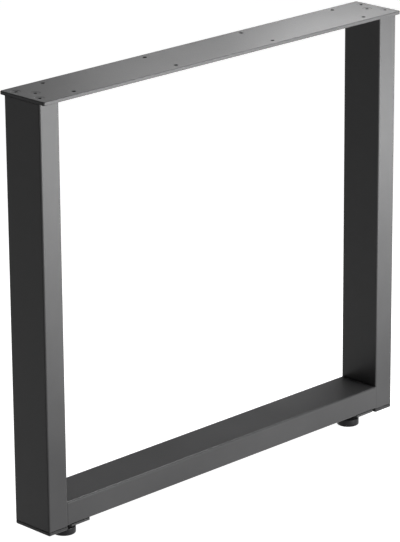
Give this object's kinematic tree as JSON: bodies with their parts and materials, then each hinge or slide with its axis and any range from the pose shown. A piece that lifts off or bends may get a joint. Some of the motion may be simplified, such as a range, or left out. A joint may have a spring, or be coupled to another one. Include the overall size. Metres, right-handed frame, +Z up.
{
  "type": "table frame",
  "caption": "Flat steel table leg frame: box-section uprights and a bottom rail under a drilled top plate, standing on adjustable levelling feet.",
  "frame": {"origin": "on the floor, midway between the feet and midway between the front and the back of the top plate", "axes": "+X along the frame to the right as seen from the front, +Y to the back, +Z up"},
  "size_m": [0.8, 0.1, 0.73],
  "materials": {
    "powder_coat": "fine satin powder coat, dark grey",
    "bare_steel": "mill finish",
    "black_screw": "black oxide",
    "zinc_steel": "bright zinc plate",
    "plug_plastic": "fine matt, dark grey",
    "pad_plastic": "moulded satin, black"
  },
  "bodies": {
    "frame": {"top_plate": "powder_coat", "left_upright": "powder_coat", "right_upright": "powder_coat", "bottom_rail": "powder_coat", "left_foot_plate": "powder_coat", "right_foot_plate": "powder_coat", "left_screw_block": "bare_steel", "right_screw_block": "bare_steel", "left_weld_nut": "bare_steel", "right_weld_nut": "bare_steel", "corner_screws": "black_screw", "middle_screws": "black_screw", "left_end_plug": "plug_plastic", "right_end_plug": "plug_plastic", "left_lock_nut": "zinc_steel", "right_lock_nut": "zinc_steel"},
    "left_foot": {"left_foot_stem": "zinc_steel", "left_foot_pad": "pad_plastic"},
    "right_foot": {"right_foot_stem": "zinc_steel", "right_foot_pad": "pad_plastic"}
  },
  "joints": [
    {"name": "left_foot_height", "type": "slide", "parent": "frame", "child": "left_foot", "axis": [0, 0, -1], "range_m": [-0.004, 0.012]},
    {"name": "right_foot_height", "type": "slide", "parent": "frame", "child": "right_foot", "axis": [0, 0, -1], "range_m": [-0.004, 0.012]}
  ]
}
